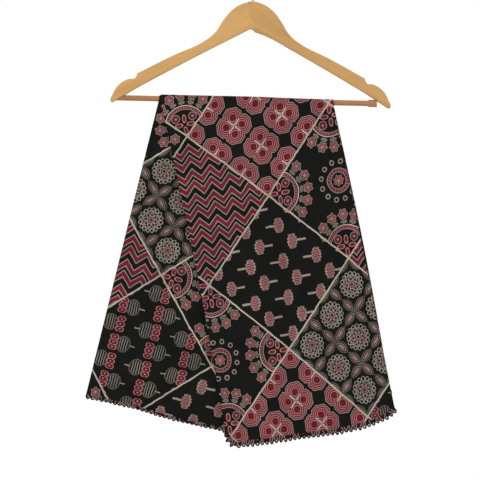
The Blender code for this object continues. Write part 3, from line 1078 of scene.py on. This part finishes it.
class AJRAKH_OT_arms(bpy.types.Operator):
    """Makes the hanger's two arms, which meet in a curved seam"""

    bl_idname = "ajrakh.arms"
    bl_label = "Hanger arms"

    def execute(self, context):
        settings = context.scene.ajrakh.hanger
        # Each arm reaches past the seam by nearly all of its rounding, so that the two flat faces meet.
        lap = settings.edge - SEAM_LAP
        mirrored = [Outline(-place.x, place.drop, place.sharp) for place in ARM_OUTLINE]
        upwards = SEAM[::-1]
        left_seam = [Outline(place.x + lap, place.drop, place.sharp) for place in upwards]
        right_seam = [Outline(place.x - lap, place.drop, place.sharp) for place in upwards]
        outlines = {
            "left_arm": ([*mirrored, LEFT_APEX, *left_seam], -1),
            "right_arm": ([RIGHT_CREST, *ARM_OUTLINE, *right_seam], 1),
        }
        outer, inner = ARM_OUTLINE[6], ARM_OUTLINE[4]
        slope = math.atan2(outer.drop - inner.drop, outer.x - inner.x)
        for name, (outline, side) in outlines.items():
            # The right arm gets a darker copy of the wood: painted shade, as its face is turned away from the
            # light.
            shade = RIGHT_ARM_PAINTED_SHADE if side > 0 else 1.0
            tones = [Vector(tone) * shade for tone in (settings.light_wood, settings.dark_wood)]
            wood = waxed_wood(f"waxed wood, {name}", *tones, side * slope)
            arm = make_arm(f"wooden_{name}", outline, settings.edge, wood)
            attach(arm, "root")
            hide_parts(name)
        return {"FINISHED"}


def choose_faces(mesh, test):
    """Selects the faces whose middle passes the test. The mesh is in object mode."""
    for face in mesh.polygons:
        face.select = test(face.center, face.normal)
    for edge in mesh.edges:
        edge.select = False
    for vert in mesh.vertices:
        vert.select = False
    for face in mesh.polygons:
        if face.select:
            for vert in face.vertices:
                mesh.vertices[vert].select = True


class AJRAKH_OT_bar(bpy.types.Operator):
    """Turns the bar and its knob, and cuts both ends to the arms"""

    bl_idname = "ajrakh.bar"
    bl_label = "Turned bar"

    def execute(self, context):
        settings = context.scene.ajrakh.hanger
        deselect_all()
        bpy.ops.mesh.primitive_cylinder_add(
            vertices=40, radius=BAR_RADIUS, depth=KNOB_START - BAR_LEFT_END,
            location=((KNOB_START + BAR_LEFT_END) / 2, 0.0, -BAR_DROP), rotation=(0.0, math.pi / 2, 0.0),
        )
        bar = context.object
        bar.name = "turned_bar"
        bpy.ops.object.transform_apply(location=True, rotation=True, scale=True)
        choose_faces(bar.data, lambda middle, normal: normal.x > 0.9)
        bpy.ops.object.mode_set(mode="EDIT")
        bpy.ops.mesh.select_mode(type="FACE")
        profile = (
            (KNOB_TAPER * 0.25, BAR_RADIUS * 1.12), (KNOB_TAPER * 0.35, KNOB_RADIUS * 0.88),
            (KNOB_TAPER * 0.40, KNOB_RADIUS), (BAR_RIGHT_END - KNOB_START - KNOB_TAPER, KNOB_RADIUS),
        )
        radius = BAR_RADIUS
        for ahead, wide in profile:
            bpy.ops.mesh.extrude_region_move(TRANSFORM_OT_translate={"value": (ahead, 0.0, 0.0)})
            bpy.ops.transform.resize(value=(1.0, wide / radius, wide / radius))
            radius = wide
        outer, inner = [place for place in ARM_OUTLINE if place.sharp][1:3]
        for side in (-1, 1):
            along = Vector((side * (outer.x - inner.x), 0.0, -(outer.drop - inner.drop))).normalized()
            up = Vector((-along.z * side, 0.0, along.x * side))
            seat = Vector((side * inner.x, 0.0, -inner.drop)) - up * CLEARANCE
            bpy.ops.mesh.select_all(action="SELECT")
            bpy.ops.mesh.bisect(plane_co=seat, plane_no=up, use_fill=True, clear_outer=True)
        bpy.ops.mesh.select_all(action="SELECT")
        bpy.ops.mesh.normals_make_consistent(inside=False)
        bpy.ops.object.mode_set(mode="OBJECT")
        light = Vector(settings.bar_wood)
        bar.data.materials.append(waxed_wood("waxed wood, bar", light, light * 0.72, 0.0))
        settle(bar)
        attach(bar, "root")
        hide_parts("bar")
        return {"FINISHED"}


def hook_route():
    """The wire's middle line, from its tip round the loop to the neck and down into the crest."""
    centre_drop = HOOK_RADIUS - WIRE_RADIUS
    route = []
    for degrees in range(HOOK_TIP_ANGLE, HOOK_NECK_ANGLE - 1, -HOOK_DEGREES):
        turn = math.radians(degrees)
        route.append(Vector((HOOK_RADIUS * math.cos(turn), HOOK_RADIUS * math.sin(turn) - centre_drop)))
    last = math.radians(HOOK_NECK_ANGLE)
    reach = HOOK_RADIUS / 3
    start = route[-1]
    ahead = start + Vector((math.sin(last), -math.cos(last))) * reach
    end = Vector((0.0, -HOOK_NECK_DROP))
    above = end + Vector((0.0, reach))
    for step in range(1, NECK_STEPS + 1):
        t = step / NECK_STEPS
        s = 1 - t
        route.append(start * s**3 + ahead * 3 * s * s * t + above * 3 * s * t * t + end * t**3)
    route.append(Vector((0.0, -(ARM_CREST + STEM_IN_WOOD))))
    return route


class AJRAKH_OT_hook(bpy.types.Operator):
    """Bends the wire hook"""

    bl_idname = "ajrakh.hook"
    bl_label = "Wire hook"

    def execute(self, context):
        holder = drawn_curve("wire_hook")
        curve = holder.data
        curve.dimensions = "3D"
        curve.bevel_depth = WIRE_RADIUS
        curve.bevel_resolution = 8
        curve.use_fill_caps = True
        route = hook_route()
        # The tip is ground round: three short steps inside the wire's own end.
        tip = route[0]
        back = (route[1] - tip).normalized()
        rounded = [(tip, 0.35), (tip + back * WIRE_RADIUS * 0.3, 0.75), (tip + back * WIRE_RADIUS, 1.0)]
        stations = rounded + [(point, 1.0) for point in route[2:]]
        spline = curve.splines.new("POLY")
        spline.points.add(len(stations) - 1)
        for point, (place, share) in zip(spline.points, stations):
            point.co = (place.x, 0.0, place.y, 1.0)
            point.radius = share
        hook = curve_to_mesh(holder, plated_wire(context.scene.ajrakh.hanger))
        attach(hook, "root")
        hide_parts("hook")
        return {"FINISHED"}


def add_area_light(name, place, target, size, power):
    light = bpy.data.lights.new(name, "AREA")
    light.shape = "SQUARE"
    light.size = size
    light.energy = power
    holder = bpy.data.objects.new(name, light)
    holder.location = place
    holder.rotation_euler = (Vector(target) - Vector(place)).to_track_quat("-Z", "Y").to_euler()
    bpy.context.scene.collection.objects.link(holder)


class AJRAKH_OT_stage(bpy.types.Operator):
    """Sets the floor, the soft lights and the camera"""

    bl_idname = "ajrakh.stage"
    bl_label = "Stage"

    def execute(self, context):
        settings = context.scene.ajrakh.stage
        deselect_all()
        bpy.ops.mesh.primitive_circle_add(
            vertices=96, radius=settings.reach, fill_type="NGON", location=(0.0, 0.0, -settings.floor)
        )
        floor = context.object
        floor.name = "paper_floor"
        floor.data.materials.append(floor_paper(settings))
        settle(floor)

        x, z = VIEW_MIDDLE
        target = (x, 0.0, z)
        for name, (place, size, share) in LIGHTS.items():
            add_area_light(name, place, target, size, settings.light * share)
        world = bpy.data.worlds.new("studio")
        world.use_nodes = True
        context.scene.world = world
        world.node_tree.nodes.clear()
        add = partial(add_node, world.node_tree)
        # The room is brighter above than below, and shows as plain white behind the object.
        ray = add("LightPath")
        place = add("TexCoord")
        axes = add("SeparateXYZ", place.outputs["Generated"])
        room = add("MapRange", axes.outputs[2], -1.0, 1.0, *ROOM)
        seen = add("Math MAXIMUM", ray.outputs["Is Camera Ray"], room)
        sky = add("Background", sockets={"Color": (1.0, 1.0, 1.0, 1.0), "Strength": seen})
        add("OutputWorld", sky)
        context.scene.view_settings.view_transform = "Standard"

        camera = bpy.data.cameras.new("camera")
        camera.sensor_width = SENSOR
        camera.lens = SENSOR * settings.distance / VIEW_WIDTH
        holder = bpy.data.objects.new("camera", camera)
        lean = Matrix.Rotation(math.pi / 2, 4, "X") @ Matrix.Rotation(VIEW_LEAN, 4, "Z")
        holder.matrix_world = Matrix.Translation((x, -settings.distance, z)) @ lean
        context.scene.collection.objects.link(holder)
        context.scene.camera = holder
        return {"FINISHED"}


class AJRAKH_PT_panel(bpy.types.Panel):
    """Lists the pieces and their settings"""

    bl_idname = "AJRAKH_PT_panel"
    bl_label = "Ajrakh cloth"
    bl_space_type = "VIEW_3D"
    bl_region_type = "UI"
    bl_category = "Ajrakh"

    def draw(self, context):
        groups = (
            ("cloth", (AJRAKH_OT_cloth,)), ("edging", (AJRAKH_OT_edging,)),
            ("hanger", (AJRAKH_OT_arms, AJRAKH_OT_bar, AJRAKH_OT_hook)), ("stage", (AJRAKH_OT_stage,)),
        )
        for group, operators in groups:
            box = self.layout.box()
            settings = getattr(context.scene.ajrakh, group)
            for name in settings.__annotations__:
                box.prop(settings, name)
            for operator in operators:
                box.operator(operator.bl_idname)


CLASSES = (
    AjrakhClothSettings,
    AjrakhEdgingSettings,
    AjrakhHangerSettings,
    AjrakhStageSettings,
    AjrakhSettings,
    AJRAKH_OT_cloth,
    AJRAKH_OT_edging,
    AJRAKH_OT_arms,
    AJRAKH_OT_bar,
    AJRAKH_OT_hook,
    AJRAKH_OT_stage,
    AJRAKH_PT_panel,
)


def register():
    for item in CLASSES:
        bpy.utils.register_class(item)
    bpy.types.Scene.ajrakh = bpy.props.PointerProperty(type=AjrakhSettings)


def unregister():
    del bpy.types.Scene.ajrakh
    for item in reversed(CLASSES):
        bpy.utils.unregister_class(item)


def main():
    register()
    bpy.ops.ajrakh.arms()
    bpy.ops.ajrakh.bar()
    bpy.ops.ajrakh.hook()
    bpy.ops.ajrakh.cloth()
    bpy.ops.ajrakh.edging()
    bpy.ops.ajrakh.stage()


if __name__ == "__main__":
    main()
